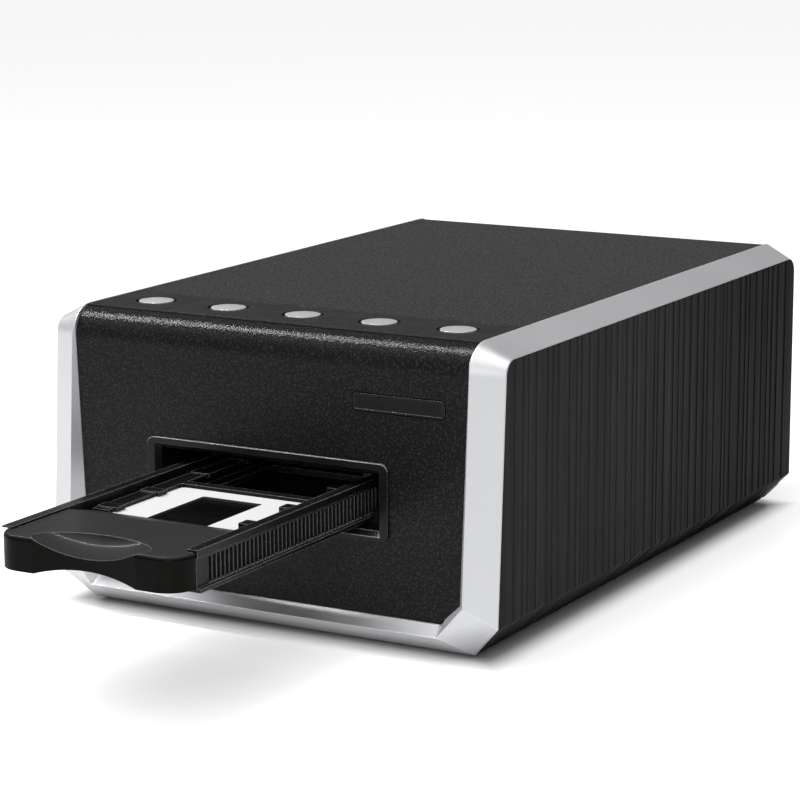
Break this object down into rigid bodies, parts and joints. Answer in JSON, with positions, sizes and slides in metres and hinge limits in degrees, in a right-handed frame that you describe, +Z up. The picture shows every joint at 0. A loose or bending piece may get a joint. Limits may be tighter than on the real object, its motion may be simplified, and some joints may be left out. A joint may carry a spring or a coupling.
{
  "type": "film negative scanner",
  "caption": "Desktop film and slide scanner: a silver-framed black box with top buttons and a rack-driven film holder that slides through a slot in the front.",
  "frame": {"origin": "middle of the bounding box, film holder included, on the surface that the feet stand on", "axes": "+X to the right of someone facing the slot, +Y from the front towards the back, +Z up"},
  "size_m": [0.175, 0.3592, 0.1056],
  "materials": {
    "axle_steel": "ground",
    "bezel_black": "satin",
    "button_silver": "silver painted, satin",
    "case_black": "fine texture",
    "circuit_board": "solder mask",
    "diffuser_white": "translucent white",
    "film": "gloss",
    "gear_white": "natural acetal",
    "grained_black": "leather-like grain, satin",
    "handle_olive": "satin",
    "holder_black": "satin",
    "led_white": "satin",
    "lens_black": "black anodised",
    "lens_glass": "coated",
    "magnet_black": "ferrite",
    "mirror": "front surface",
    "motor_can": "plated",
    "mount_white": "matte",
    "pinion_brass": "machined",
    "plate_dark": "satin, bare",
    "rail_black": "satin",
    "ribbed_black": "satin, pleated",
    "rubber": "matte",
    "screw_steel": "zinc plated",
    "sensor_ceramic": "matte",
    "sheet_steel": "zinc plated",
    "silver": "silver painted, satin",
    "socket_metal": "plated",
    "strip_dark": "smooth, satin",
    "switch_black": "satin"
  },
  "bodies": {
    "case": {"axle_clip": "axle_steel", "back_panel": "case_black", "base_tray": "case_black", "board_parts": "switch_black", "board_screws": "screw_steel", "button_board": "circuit_board", "button_board_screws": "screw_steel", "button_strip": "strip_dark", "case_screws": "screw_steel", "chassis_plate": "sheet_steel", "chassis_screws": "screw_steel", "drive_motor": "motor_can", "flap_pin": "axle_steel", "fold_mirror": "mirror", "front_lower_bar": "silver", "gear_axle": "axle_steel", "lamp_board": "circuit_board", "lamp_bridge": "sheet_steel", "lamp_diffuser": "diffuser_white", "lamp_leds": "led_white", "left_guide_rail": "rail_black", "left_side_frame": "silver", "left_side_panel": "ribbed_black", "lens_barrel": "lens_black", "lens_clamp": "sheet_steel", "lens_glass": "lens_glass", "line_sensor": "sensor_ceramic", "main_board": "circuit_board", "motor_screws": "screw_steel", "name_plate": "plate_dark", "optics_housing": "rail_black", "power_jack": "switch_black", "right_guide_rail": "rail_black", "right_side_frame": "silver", "right_side_panel": "ribbed_black", "rubber_feet": "rubber", "sensor_board": "circuit_board", "slot_bezel": "bezel_black", "tact_switches": "switch_black", "top_front_cover": "grained_black", "usb_socket": "socket_metal"},
    "film_holder": {"holder_tray": "holder_black", "holder_handle": "handle_olive", "slide_clips": "holder_black", "slide_mount_lower": "mount_white", "slide_mount_upper": "mount_white", "film_chip": "film"},
    "drive_wheel": {"drive_gear": "gear_white"},
    "motor_rotor": {"motor_shaft": "axle_steel", "motor_magnet": "magnet_black", "motor_pinion": "pinion_brass"},
    "slot_flap": {"dust_flap": "rail_black"},
    "push_button_1": {"button_1": "button_silver"},
    "push_button_2": {"button_2": "button_silver"},
    "push_button_3": {"button_3": "button_silver"},
    "push_button_4": {"button_4": "button_silver"},
    "push_button_5": {"button_5": "button_silver"}
  },
  "joints": [
    {"name": "holder_slide", "type": "slide", "parent": "case", "child": "film_holder", "axis": [0, 1, 0], "range_m": [-0.17, 0.09]},
    {"name": "drive_wheel_turn", "type": "hinge", "parent": "case", "child": "drive_wheel", "pos_m": [0.04125, -0.01405, 0.0392], "axis": [0, 0, 1], "continuous": true},
    {"name": "motor_turn", "type": "hinge", "parent": "case", "child": "motor_rotor", "pos_m": [0.04125, 0.00495, 0.0372], "axis": [0, 0, 1], "continuous": true},
    {"name": "slot_flap_lift", "type": "hinge", "parent": "case", "child": "slot_flap", "pos_m": [0, -0.06455, 0.0622], "axis": [1, 0, 0], "range_deg": [0, 10]},
    {"name": "button_1_press", "type": "slide", "parent": "case", "child": "push_button_1", "axis": [0, 0, -1], "range_m": [0, 0.0005], "stiffness_N_per_m": 2000},
    {"name": "button_2_press", "type": "slide", "parent": "case", "child": "push_button_2", "axis": [0, 0, -1], "range_m": [0, 0.0005], "stiffness_N_per_m": 2000},
    {"name": "button_3_press", "type": "slide", "parent": "case", "child": "push_button_3", "axis": [0, 0, -1], "range_m": [0, 0.0005], "stiffness_N_per_m": 2000},
    {"name": "button_4_press", "type": "slide", "parent": "case", "child": "push_button_4", "axis": [0, 0, -1], "range_m": [0, 0.0005], "stiffness_N_per_m": 2000},
    {"name": "button_5_press", "type": "slide", "parent": "case", "child": "push_button_5", "axis": [0, 0, -1], "range_m": [0, 0.0005], "stiffness_N_per_m": 2000}
  ],
  "couplings": [
    {"joint": "drive_wheel_turn", "follows": "holder_slide", "rad_per_m": -133.33},
    {"joint": "motor_turn", "follows": "holder_slide", "rad_per_m": 500}
  ]
}
